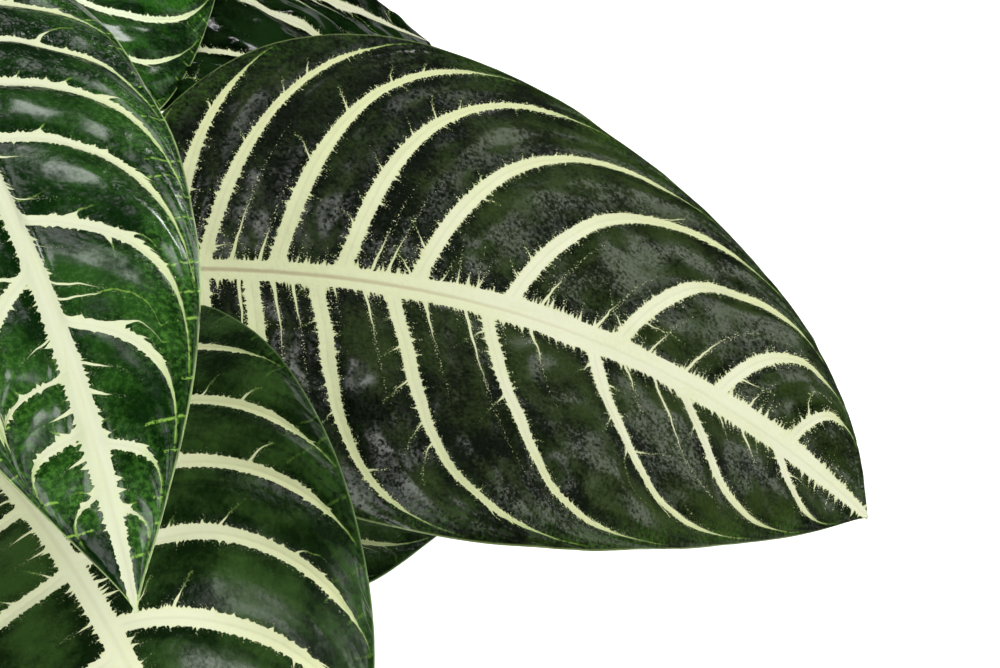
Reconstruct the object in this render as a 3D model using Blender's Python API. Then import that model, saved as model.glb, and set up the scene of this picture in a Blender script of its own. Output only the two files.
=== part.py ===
# Potted zebra plant: two leafy shoots standing in soil in a plain clay pot.
# Metres, +Z up, origin at the centre of the pot's underside.
# Every leaf is one closed blade with its petiole, lofted along a drooping centreline.

import math
import random

import bmesh
import bpy
from mathutils import Vector

for old in list(bpy.data.objects):
    bpy.data.objects.remove(old, do_unlink=True)

# Pot and soil
POT_HEIGHT = 0.132
POT_BASE_RADIUS = 0.050
POT_NECK_RADIUS = 0.067
POT_RIM_RADIUS = 0.074
POT_RIM_HEIGHT = 0.028
POT_WALL = 0.0055
POT_FLOOR = 0.009
POT_EDGE = 0.0015
POT_SIDES = 40
DRAIN_COUNT = 3
DRAIN_RADIUS = 0.005
DRAIN_RING = 0.026
DRAIN_TURN = 0.35
DRAIN_SIDES = 16
SOIL_LEVEL = 0.116
SOIL_EDGE_DROP = 0.004
SOIL_DOME = 0.003
SOIL_LUMP = 0.0012
SOIL_RINGS = (0.55, 0.78, 0.93)
GAP = 0.0003

# Stems: foot of the axis at soil level, lean per metre of height, top of the axis
STEM_DEPTH = 0.034
STEM_RADIUS = 0.0048
STEM_NODE_RADIUS = 0.0054
STEM_NODE_REACH = 0.007
STEM_NODE_HALF_LENGTH = 0.0025
STEM_TIP_RADIUS = 0.0026
STEM_CLEAR_OF_SOIL = 0.020
STEM_SIDES = 12
STEMS = {
    "main": dict(foot=(0.0065, 0.0), lean=(-0.125, 0.0), top=0.420),
    "rear": dict(foot=(0.018, 0.040), lean=(-0.05, 0.03), top=0.281),
}
BUD_LENGTH = 0.026
BUD_WIDTH = 0.0042
BUD_THICKNESS = 0.0009
BUD_SINK = 0.004
BUD_STAND_OFF = 0.0008
BUD_COUNT = 2
BUD_TURN = 0.6
BUD_TILT = 16.0

# Leaf blades
BLADE_THICKNESS = 0.0008
PETIOLE_HALF_WIDTH = 0.0030
PETIOLE_HALF_HEIGHT = 0.0024
PETIOLE_EDGE_FLATTENING = 0.93
PETIOLE_STATIONS = (0.0, 0.33, 0.67)
BLADE_FULL_AT = 0.05
PETIOLE_WIDTH_ENDS_AT = 0.12
KEEL_DEPTH = 0.0014
QUILT_HEIGHT = 0.0011
COLUMNS = (0.0, 0.3, 0.64, 1.0)
VEIN_ADVANCE = 0.07
VEIN_HUG = 0.86
VEIN_BASE_FADE = 0.12
VEIN_TIP_FADE = 0.33
VEIN_STARTS = (0.05, 0.11, 0.17, 0.24, 0.325, 0.415, 0.53, 0.655, 0.785, 0.885)
BASE_ROWS = (0.0, 0.25, 0.5, 0.75)
RIGHT_VEIN_SHIFT = -0.02
SHIFT_FULL_AT = 0.1
TIP_WAIST = 0.35
TIP_REACH = 0.04
TIP_HALF_WIDTH = 0.0004


# Angles in degrees at the petiole's foot, half way and at the tip.
# Azimuth turns from +X to +Y, a positive roll lifts the leaf's left edge.
def leaf(stem, height, azimuth, elevation, roll, petiole, length, widths, widest=0.43,
         blunt=0.62, fold=9, camber=15):
    return dict(stem=stem, height=height, azimuth=azimuth, elevation=elevation, roll=roll,
                petiole=petiole, length=length, widths=widths, widest=widest, blunt=blunt,
                fold=fold, camber=camber)


LEAVES = {
    "main_leaf_1_right": leaf("main", 0.404, (22, 20, 24), (58, 42, 20), (0, 4, 0),
                              0.014, 0.092, (0.0215, 0.0215)),
    "main_leaf_1_left": leaf("main", 0.404, (202, 204, 208), (56, 44, 24), (0, -4, 0),
                             0.014, 0.086, (0.0205, 0.0205)),
    "main_leaf_2_front": leaf("main", 0.381, (-66, -62, -73), (19, -9, -35), (16, -12, 22),
                              0.024, 0.2105, (0.043, 0.0435), widest=0.38, fold=8),
    "main_leaf_2_back": leaf("main", 0.381, (118, 122, 126), (32, 12, -30), (0, 8, 4),
                             0.024, 0.185, (0.044, 0.044)),
    "main_leaf_3_back": leaf("main", 0.3325, (76, 63, 41), (-14, -9, 12), (9, 28, 18),
                             0.018, 0.1495, (0.045, 0.0455), widest=0.41, blunt=0.64, fold=6,
                             camber=17),
    "main_leaf_3_front": leaf("main", 0.3325, (236, 232, 226), (20, -8, -40), (4, 4, 0),
                              0.028, 0.172, (0.046, 0.045)),
    "main_leaf_4_right": leaf("main", 0.2795, (-5, 12, -17), (12, -22, -42), (53, 26, 17),
                              0.042, 0.2285, (0.0775, 0.0705)),
    "main_leaf_4_left": leaf("main", 0.2795, (176, 172, 176), (16, -6, -44), (-6, -10, -4),
                             0.036, 0.205, (0.060, 0.062)),
    "main_leaf_5_front": leaf("main", 0.249, (-74, -62, -62), (25, 10, -61), (5, 24, 17),
                              0.035, 0.1955, (0.0605, 0.0615), widest=0.49, blunt=0.56, fold=11,
                              camber=14),
    "main_leaf_5_back": leaf("main", 0.249, (112, 124, 128), (10, -12, -48), (0, -8, 0),
                             0.034, 0.188, (0.056, 0.055)),
    "main_leaf_6_right": leaf("main", 0.169, (21, 25, 19), (25, 8, -39), (6, 14, 16),
                              0.025, 0.120, (0.0405, 0.041), blunt=0.64, fold=8, camber=16),
    "main_leaf_6_left": leaf("main", 0.175, (205, 212, 214), (26, 4, -34), (0, -6, 0),
                             0.026, 0.128, (0.040, 0.040)),
    "rear_leaf_1_right": leaf("rear", 0.271, (67, 61, 50), (49, -21, -34), (-4, 34, 16),
                              0.026, 0.200, (0.047, 0.0475), widest=0.46),
    "rear_leaf_1_left": leaf("rear", 0.262, (152, 150, 146), (24, -4, -40), (0, 0, 0),
                             0.026, 0.150, (0.043, 0.043)),
    "rear_leaf_2_right": leaf("rear", 0.215, (92, 84, 80), (14, -10, -42), (0, 4, 0),
                              0.028, 0.168, (0.050, 0.050)),
}


def material(name, colour, roughness, metallic=0.0):
    made = bpy.data.materials.new(name)
    made.use_nodes = True
    shader = made.node_tree.nodes["Principled BSDF"]
    shader.inputs["Base Color"].default_value = (*colour, 1.0)
    shader.inputs["Roughness"].default_value = roughness
    shader.inputs["Metallic"].default_value = metallic
    return made


def new_object(name, bm, mat, smooth_angle=40.0):
    bmesh.ops.recalc_face_normals(bm, faces=bm.faces)
    mesh = bpy.data.meshes.new(name)
    bm.to_mesh(mesh)
    bm.free()
    mesh.shade_smooth()
    mesh.set_sharp_from_angle(angle=math.radians(smooth_angle))
    mesh.materials.append(mat)
    made = bpy.data.objects.new(name, mesh)
    bpy.context.scene.collection.objects.link(made)
    return made


# The value through three settings at t = 0, 1/2 and 1
def through(values, t):
    first, middle, last = values
    return first * (1 - t) * (1 - 2 * t) + 4 * middle * t * (1 - t) + last * t * (2 * t - 1)


def smooth_step(low, high, x):
    t = min(1.0, max(0.0, (x - low) / (high - low)))
    return t * t * (3 - 2 * t)


def stem_axis(name, z):
    stem = STEMS[name]
    rise = z - SOIL_LEVEL
    return Vector((stem["foot"][0] + stem["lean"][0] * rise,
                   stem["foot"][1] + stem["lean"][1] * rise, z))


# Position, heading, side and normal along a leaf's centreline, t from 0 to 1
class Centreline:
    STEPS = 64

    def __init__(self, spec):
        self.spec = spec
        self.reach = spec["petiole"] + spec["length"]
        azimuth = math.radians(spec["azimuth"][0])
        tilt = abs(math.sin(math.radians(spec["elevation"][0])))
        clear = STEM_NODE_RADIUS + GAP + PETIOLE_HALF_HEIGHT * tilt
        outward = Vector((math.cos(azimuth), math.sin(azimuth), 0.0))
        self.points = [stem_axis(spec["stem"], spec["height"]) + outward * clear]
        step = self.reach / self.STEPS
        for i in range(self.STEPS):
            here = self.heading(i / self.STEPS) + self.heading((i + 1) / self.STEPS)
            self.points.append(self.points[-1] + here * (step / 2))

    def heading(self, t):
        azimuth = math.radians(through(self.spec["azimuth"], t))
        elevation = math.radians(through(self.spec["elevation"], t))
        return Vector((math.cos(elevation) * math.cos(azimuth),
                       math.cos(elevation) * math.sin(azimuth), math.sin(elevation)))

    def at(self, t):
        place = min(max(t, 0.0), 1.0) * self.STEPS
        i = min(int(place), self.STEPS - 1)
        point = self.points[i].lerp(self.points[i + 1], place - i)
        azimuth = math.radians(through(self.spec["azimuth"], t))
        roll = math.radians(through(self.spec["roll"], t))
        heading = self.heading(t)
        level = Vector((-math.sin(azimuth), math.cos(azimuth), 0.0))
        upright = heading.cross(level)
        side = level * math.cos(roll) + upright * math.sin(roll)
        normal = upright * math.cos(roll) - level * math.sin(roll)
        return point, side, normal


# Half width of the blade as a share of its widest, s from 0 at its base to 1 at its tip
def outline(spec, s):
    if s <= 0.0 or s >= 1.0:
        return 0.0
    widest = spec["widest"]
    toward_base = spec["blunt"]
    toward_tip = toward_base * (1 - widest) / widest
    peak = widest ** toward_base * (1 - widest) ** toward_tip
    drawn_in = 1 - TIP_WAIST * math.exp(-(1 - s) / TIP_REACH)
    return s ** toward_base * (1 - s) ** toward_tip / peak * drawn_in


# Where the curve that leaves the midrib at start has got to along the blade, u out to the margin
def vein_run(start, u):
    left_over = 1.0 - start
    fade = (1.0 - math.exp(-start / VEIN_BASE_FADE)) * min(1.0, left_over / VEIN_TIP_FADE)
    advance = VEIN_ADVANCE * u / (1.0 - VEIN_HUG * u) * fade
    if left_over <= 0.0:
        return 1.0
    return 1.0 - left_over ** 2 / (advance + left_over)


# The start on the midrib of row q: whole numbers are veins, halves lie between two
def row_start(q, shift):
    moved = [v + shift * min(1.0, v / SHIFT_FULL_AT) for v in VEIN_STARTS]
    stops = [0.0] + moved + [1.0]
    i = min(int(q), len(stops) - 2)
    return stops[i] + (stops[i + 1] - stops[i]) * (q - i)


def petiole_half_height(v):
    return PETIOLE_HALF_HEIGHT * math.sqrt(1.0 - PETIOLE_EDGE_FLATTENING * v * v)


def blade_loop(spec, line, q):
    top = []
    bottom = []
    signed = [-u for u in reversed(COLUMNS[1:])] + list(COLUMNS)
    for v in signed:
        u = abs(v)
        shift = RIGHT_VEIN_SHIFT if v < 0 else (0.0 if v > 0 else RIGHT_VEIN_SHIFT / 2)
        s = vein_run(row_start(q, shift), u)
        t = (spec["petiole"] + s * spec["length"]) / line.reach
        point, side, normal = line.at(t)
        half = spec["widths"][0] if v > 0 else spec["widths"][1]
        into_blade = smooth_step(0.0, BLADE_FULL_AT, s)
        petiole_left = 1.0 - smooth_step(0.0, PETIOLE_WIDTH_ENDS_AT, s)
        narrowest = PETIOLE_HALF_WIDTH * petiole_left + TIP_HALF_WIDTH
        across = u * max(half * outline(spec, s), narrowest)
        rise = math.radians(spec["fold"]) - math.radians(spec["camber"]) * u / 2
        between = abs(math.sin(math.pi * q))
        quilt = QUILT_HEIGHT * between * 4 * u * (1 - u) * outline(spec, s)
        middle = point + side * (math.copysign(across, v) * math.cos(rise))
        middle += normal * (across * math.sin(rise) + quilt)
        round_part = petiole_half_height(u)
        half_top = round_part + (BLADE_THICKNESS / 2 - round_part) * into_blade
        half_bottom = half_top
        if v == 0:
            half_bottom += KEEL_DEPTH * into_blade * (1.0 - s)
        top.append(middle + normal * half_top)
        bottom.append(middle - normal * half_bottom)
    return top + bottom[::-1]


def petiole_loop(spec, line, t):
    point, side, normal = line.at(t)
    loop = []
    signed = [-u for u in reversed(COLUMNS[1:])] + list(COLUMNS)
    for half, order in ((1.0, signed), (-1.0, signed[::-1])):
        for v in order:
            across = v * (PETIOLE_HALF_WIDTH + TIP_HALF_WIDTH)
            rise = math.radians(spec["fold"]) - math.radians(spec["camber"]) * abs(v) / 2
            loop.append(point + side * (across * math.cos(rise))
                        + normal * (abs(across) * math.sin(rise) + half * petiole_half_height(v)))
    return loop


def leaf_object(name, spec, mat):
    line = Centreline(spec)
    ends = spec["petiole"] / line.reach
    loops = [petiole_loop(spec, line, ends * share) for share in PETIOLE_STATIONS]
    rows = list(BASE_ROWS) + [1 + i / 2 for i in range(2 * len(VEIN_STARTS) + 1)]
    loops += [blade_loop(spec, line, q) for q in rows]
    bm = bmesh.new()
    rings = [[bm.verts.new(co) for co in loop] for loop in loops]
    count = len(rings[0])
    half = count // 2
    for near, far in zip(rings, rings[1:]):
        for i in range(count):
            j = (i + 1) % count
            # the diagonals of both faces fall on the same line across the blade
            if i < half:
                bm.faces.new((near[i], near[j], far[j]))
                bm.faces.new((near[i], far[j], far[i]))
            else:
                bm.faces.new((near[i], near[j], far[i]))
                bm.faces.new((near[j], far[j], far[i]))
    bm.faces.new(rings[0])
    bm.faces.new(rings[-1])
    bmesh.ops.triangulate(bm, faces=[f for f in bm.faces if len(f.verts) > 4])
    return new_object(name, bm, mat)


# A tube of horizontal rings round a stem's leaning axis; stations are (height, radius)
def stem_tube(name, stations, sides=STEM_SIDES):
    bm = bmesh.new()
    rings = []
    for z, radius in stations:
        centre = stem_axis(name, z)
        ring = []
        for i in range(sides):
            angle = 2 * math.pi * i / sides
            ring.append(bm.verts.new(centre + Vector((math.cos(angle), math.sin(angle), 0)) * radius))
        rings.append(ring)
    for low, high in zip(rings, rings[1:]):
        for i in range(sides):
            j = (i + 1) % sides
            bm.faces.new((low[i], low[j], high[j], high[i]))
    bm.faces.new(rings[0][::-1])
    bm.faces.new(rings[-1])
    return bm


# A slim folded young leaf, wrapped round the stem's tip
def bud_leaf(name, turn, mat):
    bm = bmesh.new()
    base = stem_axis(name, STEMS[name]["top"] - BUD_SINK)
    tilt = math.radians(BUD_TILT)
    out = Vector((math.cos(turn), math.sin(turn), 0.0))
    heading = out * math.sin(tilt) + Vector((0, 0, math.cos(tilt)))
    side = Vector((0, 0, 1)).cross(out)
    normal = side.cross(heading)
    rings = []
    for share, wide in ((0.0, 0.55), (0.3, 1.0), (0.6, 0.85), (0.85, 0.4), (1.0, 0.12)):
        centre = base + out * BUD_STAND_OFF + heading * (BUD_LENGTH * share)
        half = BUD_WIDTH * wide
        thick = BUD_THICKNESS * (1.15 - share)
        corners = (side * half, normal * thick, -side * half, -normal * thick)
        rings.append([bm.verts.new(centre + c) for c in corners])
    for low, high in zip(rings, rings[1:]):
        for i in range(4):
            j = (i + 1) % 4
            bm.faces.new((low[i], low[j], high[j], high[i]))
    bm.faces.new(rings[0][::-1])
    bm.faces.new(rings[-1])
    return new_object(name + "_bud", bm, mat)


def union_with(made, others):
    group = bpy.data.collections.new(made.name + "_parts")
    bpy.context.scene.collection.children.link(group)
    for other in others:
        bpy.context.scene.collection.objects.unlink(other)
        group.objects.link(other)
    cut = made.modifiers.new("Union", "BOOLEAN")
    cut.operation = "UNION"
    cut.operand_type = "COLLECTION"
    cut.collection = group
    cut.solver = "EXACT"
    apply_modifiers(made)
    for other in others:
        bpy.data.objects.remove(other, do_unlink=True)
    bpy.data.collections.remove(group)


def apply_modifiers(made):
    graph = bpy.context.evaluated_depsgraph_get()
    result = bpy.data.meshes.new_from_object(made.evaluated_get(graph))
    made.modifiers.clear()
    made.data = result


def stem_object(name, mat):
    stem = STEMS[name]
    nodes = sorted({spec["height"] for spec in LEAVES.values() if spec["stem"] == name})
    stations = [(SOIL_LEVEL - STEM_DEPTH, STEM_RADIUS),
                (SOIL_LEVEL + STEM_CLEAR_OF_SOIL, STEM_RADIUS)]
    for z in nodes:
        stations.append((z - STEM_NODE_REACH, STEM_RADIUS))
        stations.append((z - STEM_NODE_HALF_LENGTH, STEM_NODE_RADIUS))
        stations.append((z + STEM_NODE_HALF_LENGTH, STEM_NODE_RADIUS))
        stations.append((z + STEM_NODE_REACH, STEM_RADIUS))
    stations.append((stem["top"], STEM_TIP_RADIUS))
    stations = [s for i, s in enumerate(stations) if i == 0 or s[0] > stations[i - 1][0]]
    made = new_object(name + "_stem", stem_tube(name, stations), mat)
    turn = 2 * math.pi / BUD_COUNT
    buds = [bud_leaf(name, BUD_TURN + turn * i, mat) for i in range(BUD_COUNT)]
    union_with(made, buds)
    return made


# A closed solid of revolution from (radius, height) points that start and end on the axis
def turned(points, sides):
    bm = bmesh.new()
    verts = [bm.verts.new((r, 0, z)) for r, z in points]
    edges = [bm.edges.new(pair) for pair in zip(verts, verts[1:])]
    bmesh.ops.spin(bm, geom=verts + edges, cent=(0, 0, 0), axis=(0, 0, 1),
                   angle=2 * math.pi, steps=sides, use_duplicate=False)
    bmesh.ops.remove_doubles(bm, verts=bm.verts, dist=0.00001)
    return bm


def pot_inner_radius(z):
    share = z / (POT_HEIGHT - POT_RIM_HEIGHT)
    outer = POT_BASE_RADIUS + (POT_NECK_RADIUS - POT_BASE_RADIUS) * share
    return outer - POT_WALL


def pot_object(mat):
    shoulder = POT_HEIGHT - POT_RIM_HEIGHT
    profile = [
        (0.0, 0.0),
        (POT_BASE_RADIUS - POT_EDGE, 0.0),
        (POT_BASE_RADIUS, POT_EDGE),
        (POT_NECK_RADIUS, shoulder),
        (POT_RIM_RADIUS - POT_EDGE, shoulder),
        (POT_RIM_RADIUS, shoulder + POT_EDGE),
        (POT_RIM_RADIUS, POT_HEIGHT - POT_EDGE),
        (POT_RIM_RADIUS - POT_EDGE, POT_HEIGHT),
        (pot_inner_radius(POT_HEIGHT) + POT_EDGE, POT_HEIGHT),
        (pot_inner_radius(POT_HEIGHT - POT_EDGE), POT_HEIGHT - POT_EDGE),
        (pot_inner_radius(POT_FLOOR), POT_FLOOR),
        (0.0, POT_FLOOR),
    ]
    made = new_object("clay_pot", turned(profile, POT_SIDES), mat)
    for i in range(DRAIN_COUNT):
        angle = DRAIN_TURN + 2 * math.pi * i / DRAIN_COUNT
        bpy.ops.mesh.primitive_cylinder_add(
            vertices=DRAIN_SIDES, radius=DRAIN_RADIUS, depth=POT_FLOOR * 3,
            location=(DRAIN_RING * math.cos(angle), DRAIN_RING * math.sin(angle), POT_FLOOR / 2))
        cutter = bpy.context.object
        cutter.name = "drain_cutter_%d" % i
        cutter.hide_render = True
        cutter.display_type = "WIRE"
        cut = made.modifiers.new("Drain", "BOOLEAN")
        cut.operation = "DIFFERENCE"
        cut.object = cutter
        cut.solver = "EXACT"
    return made


def soil_object(mat):
    draw = random.Random(4)
    bottom = POT_FLOOR + GAP
    top = SOIL_LEVEL - SOIL_EDGE_DROP
    rim = pot_inner_radius(top) - GAP
    profile = [(0.0, bottom), (pot_inner_radius(bottom) - GAP, bottom), (rim, top)]
    for share in reversed(SOIL_RINGS):
        profile.append((rim * share, SOIL_LEVEL + SOIL_DOME * (1 - share ** 2)))
    profile.append((0.0, SOIL_LEVEL + SOIL_DOME))
    bm = turned(profile, POT_SIDES)
    for vert in bm.verts:
        if vert.co.z > SOIL_LEVEL - SOIL_EDGE_DROP / 2:
            vert.co.z += draw.uniform(-SOIL_LUMP, SOIL_LUMP)
    made = new_object("potting_soil", bm, mat)
    for name in STEMS:
        stations = [(SOIL_LEVEL - STEM_DEPTH - GAP, STEM_RADIUS + GAP),
                    (SOIL_LEVEL + STEM_CLEAR_OF_SOIL, STEM_RADIUS + GAP)]
        cutter = new_object(name + "_hole_cutter", stem_tube(name, stations), mat)
        cutter.hide_render = True
        cutter.display_type = "WIRE"
        cut = made.modifiers.new("Hole", "BOOLEAN")
        cut.operation = "DIFFERENCE"
        cut.object = cutter
        cut.solver = "EXACT"
    return made


clay = material("terracotta", (0.47, 0.19, 0.10), 0.85)
peat = material("peat", (0.035, 0.022, 0.015), 0.95)
stalk = material("stalk", (0.10, 0.16, 0.06), 0.55)

pot_object(clay)
soil_object(peat)
for stem_name in STEMS:
    stem_object(stem_name, stalk)
for leaf_name, leaf_spec in LEAVES.items():
    blade = material(leaf_name + "_green", (0.02, 0.07, 0.025), 0.35)
    leaf_object(leaf_name, leaf_spec, blade)
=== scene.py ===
# Looks of the potted zebra plant: veined leaves, green stems, potting soil and a clay pot.
import random
from math import copysign, cos, exp, pi, radians, sin, sqrt

import bmesh
import bpy
from mathutils import Euler, Matrix, Vector, noise


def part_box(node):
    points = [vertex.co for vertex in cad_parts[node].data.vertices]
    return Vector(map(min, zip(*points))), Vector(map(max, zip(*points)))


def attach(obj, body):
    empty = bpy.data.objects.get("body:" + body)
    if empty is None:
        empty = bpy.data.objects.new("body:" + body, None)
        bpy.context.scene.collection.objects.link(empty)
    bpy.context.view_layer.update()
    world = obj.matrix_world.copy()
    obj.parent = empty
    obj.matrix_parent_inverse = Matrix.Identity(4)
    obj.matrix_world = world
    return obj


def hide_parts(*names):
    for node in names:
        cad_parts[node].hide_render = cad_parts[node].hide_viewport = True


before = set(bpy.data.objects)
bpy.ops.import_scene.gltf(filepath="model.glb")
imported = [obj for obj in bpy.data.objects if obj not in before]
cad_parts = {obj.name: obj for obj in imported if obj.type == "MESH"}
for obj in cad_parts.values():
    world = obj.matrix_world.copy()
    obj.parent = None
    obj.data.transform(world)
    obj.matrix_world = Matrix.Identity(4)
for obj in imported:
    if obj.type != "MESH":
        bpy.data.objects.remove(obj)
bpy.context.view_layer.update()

print("frame loaded:", len(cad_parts), "nodes")


# small helpers for meshes

def through(values, t):
    # the value through three settings at t = 0, 1/2 and 1
    first, middle, last = values
    return first * (1 - t) * (1 - 2 * t) + 4 * middle * t * (1 - t) + last * t * (2 * t - 1)


def smoothStep(low, high, x):
    t = min(1.0, max(0.0, (x - low) / (high - low)))
    return t * t * (3 - 2 * t)


def addObject(name, data):
    made = bpy.data.objects.new(name, data)
    bpy.context.scene.collection.objects.link(made)
    return made


def finishPiece(name, bm, materials, nodes, smoothAngle=50):
    mesh = bpy.data.meshes.new(name)
    bm.to_mesh(mesh)
    bm.free()
    mesh.shade_smooth()
    mesh.set_sharp_from_angle(angle=radians(smoothAngle))
    for material in materials:
        mesh.materials.append(material)
    piece = addObject(name, mesh)
    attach(piece, "root")
    if nodes:
        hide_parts(*nodes)
    return piece


def wrapGrid(bm, columns, rows):
    # a flat grid added to bm, as (vertex, column, row); the last column closes on the first
    made = bmesh.ops.create_grid(bm, x_segments=columns, y_segments=rows, size=1.0)
    placed = []
    for vert in made["verts"]:
        column = round((vert.co.x + 1) / 2 * columns) % columns
        row = round((vert.co.y + 1) / 2 * rows)
        placed.append((vert, column, row))
    return placed


def closeTube(bm, weld=0.000001):
    bmesh.ops.remove_doubles(bm, verts=bm.verts, dist=weld)
    bmesh.ops.holes_fill(bm, edges=[e for e in bm.edges if e.is_boundary], sides=0)
    bmesh.ops.recalc_face_normals(bm, faces=bm.faces)


# small helpers for materials

class Wire:
    # what a node gives out: it adds, subtracts, scales and divides like a number

    def __init__(self, socket):
        self.socket = socket
        self.tree = socket.id_data

    def __add__(self, other):
        return calc("ADD", self, other)

    def __radd__(self, other):
        return calc("ADD", other, self)

    def __sub__(self, other):
        return calc("SUBTRACT", self, other)

    def __rsub__(self, other):
        return calc("SUBTRACT", other, self)

    def __mul__(self, other):
        return calc("MULTIPLY", self, other)

    def __rmul__(self, other):
        return calc("MULTIPLY", other, self)

    def __truediv__(self, other):
        return calc("DIVIDE", self, other)


def shade(red, green, blue):
    # a display colour, 0 to 255, as the linear colour that a shader takes
    linear = []
    for value in (red, green, blue):
        value = value / 255
        linear.append(value / 12.92 if value <= 0.04045 else ((value + 0.055) / 1.055) ** 2.4)
    return (*linear, 1.0)


def newMaterial(name):
    material = bpy.data.materials.new(name)
    material.use_nodes = True
    tree = material.node_tree
    return material, tree, tree.nodes["Principled BSDF"]


def plug(value, socket):
    if isinstance(value, Wire):
        value.tree.links.new(value.socket, socket)
    else:
        socket.default_value = value


def plugAll(node, settings):
    for key, value in settings.items():
        plug(value, node.inputs[key])


def calc(operation, *values, clamp=False):
    tree = next(value.tree for value in values if isinstance(value, Wire))
    node = tree.nodes.new("ShaderNodeMath")
    node.operation = operation
    node.use_clamp = clamp
    for value, socket in zip(values, node.inputs):
        plug(value, socket)
    return Wire(node.outputs[0])


def ramp(value, low, high, start=0.0, end=1.0):
    # start below low, end above high, smooth between
    node = value.tree.nodes.new("ShaderNodeMapRange")
    node.interpolation_type = "SMOOTHSTEP"
    plugAll(node, {"Value": value, "From Min": low, "From Max": high, "To Min": start, "To Max": end})
    return Wire(node.outputs[0])


def blendColour(amount, first, second):
    node = amount.tree.nodes.new("ShaderNodeMix")
    node.data_type = "RGBA"
    plugAll(node, {0: amount, 6: first, 7: second})
    return Wire(node.outputs[2])


def vectorOf(x, y, z=0.0):
    node = x.tree.nodes.new("ShaderNodeCombineXYZ")
    for value, socket in zip((x, y, z), node.inputs):
        plug(value, socket)
    return Wire(node.outputs[0])


def partsOf(vector):
    node = vector.tree.nodes.new("ShaderNodeSeparateXYZ")
    plug(vector, node.inputs[0])
    return [Wire(output) for output in node.outputs]


def attributeOf(tree, name):
    node = tree.nodes.new("ShaderNodeAttribute")
    node.attribute_name = name
    return partsOf(Wire(node.outputs["Vector"]))


def whereIn(tree, space="Object"):
    return Wire(tree.nodes.new("ShaderNodeTexCoord").outputs[space])


def noiseAt(vector, scale=1.0, detail=2.0, rough=0.5):
    node = vector.tree.nodes.new("ShaderNodeTexNoise")
    plugAll(node, {"Vector": vector, "Scale": scale, "Detail": detail, "Roughness": rough})
    return Wire(node.outputs[0])


def drawsAt(vector):
    # three random numbers that stay the same for the same vector
    node = vector.tree.nodes.new("ShaderNodeTexWhiteNoise")
    node.noise_dimensions = "3D"
    plug(vector, node.inputs["Vector"])
    return partsOf(Wire(node.outputs["Color"]))


def bumpFrom(height, shader, depth):
    node = height.tree.nodes.new("ShaderNodeBump")
    plugAll(node, {"Strength": 1.0, "Distance": depth, "Height": height})
    plug(Wire(node.outputs[0]), shader.inputs["Normal"])


# stems

stems = {
    "soilLevel": 0.116, "depth": 0.034, "radius": 0.0047, "nodeRadius": 0.0053,
    "tipRadius": 0.0026, "sides": 32, "step": 0.0012,
    "foot": {"main": (0.0065, 0.0), "rear": (0.018, 0.040)},
    "lean": {"main": (-0.125, 0.0), "rear": (-0.05, 0.03)},
    "top": {"main": 0.420, "rear": 0.281},
    "nodes": {"main": (0.169, 0.175, 0.249, 0.2795, 0.3325, 0.381, 0.404),
              "rear": (0.215, 0.262, 0.271)},
    # a swelling at each node with a leaf scar below it, four ridges and a fine grain
    "swell": 0.0045, "scarDepth": 0.0004, "scarDrop": 0.0052, "scarHalf": 0.0009,
    "ridges": 4, "ridgeDepth": 0.00022, "ridgeStart": (0.02, 0.08),
    "grainDepth": 0.00014, "grainAcross": 2, "grainUp": 160,
}


def stemAxis(name, z):
    foot, lean = stems["foot"][name], stems["lean"][name]
    rise = z - stems["soilLevel"]
    return Vector((foot[0] + lean[0] * rise, foot[1] + lean[1] * rise, z))


# leaves: form

blade = {
    "gap": 0.0003, "nodeRadius": 0.0054, "steps": 64,
    "petioleHalfWidth": 0.0030, "petioleHalfHeight": 0.0024, "petioleRows": 14,
    "petioleEdge": 0.93, "groove": 0.0007, "grooveHalf": 0.55,
    "tipHalfWidth": 0.0004, "tipWaist": 0.35, "tipReach": 0.04,
    "halfThickness": 0.00026, "keel": 0.0013, "keelWidth": 0.0024,
    "sideBlend": 0.05, "crowd": 0.12, "columnPower": 1.3,
    # where along the blade the petiole's form, and then its width, has given way
    "formEnd": 0.05, "widthEnd": 0.12,
    # relief: how far it keeps off the midrib, both ends and the margin, and where the rib stands out
    "clearRib": 0.006, "clearEnds": 0.12, "clearMargin": 0.7, "marginLoss": 0.75,
    "streakAlong": 5.0, "streakAcross": 3.0, "seedStep": (3.7, 1.3), "ribZone": (0.08, 0.8),
    # cream bands: the first ones' share of the full width, the last ones' loss, start of the taper
    "firstBand": 0.62, "lastBandLoss": 0.35, "taperStart": 0.30,
    # the most that the shader's measures reach
    "mostGap": 0.2, "mostSlant": 4.0,
}

# veins of the leaves that have no list of their own
commonVein = {
    "starts": (0.05, 0.11, 0.17, 0.24, 0.325, 0.415, 0.53, 0.655, 0.785, 0.885),
    "shiftEnd": 0.1, "sweep": 0.07, "sweepRise": 0.12, "sweepFall": 0.33,
}


def commonVeins(shift):
    # (start on the midrib, forward sweep) of each vein
    veins = []
    for start in commonVein["starts"]:
        moved = start + shift * min(1.0, start / commonVein["shiftEnd"])
        fade = 1 - exp(-moved / commonVein["sweepRise"])
        fade *= min(1.0, (1 - moved) / commonVein["sweepFall"])
        veins.append((moved, commonVein["sweep"] * fade))
    return veins


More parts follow.
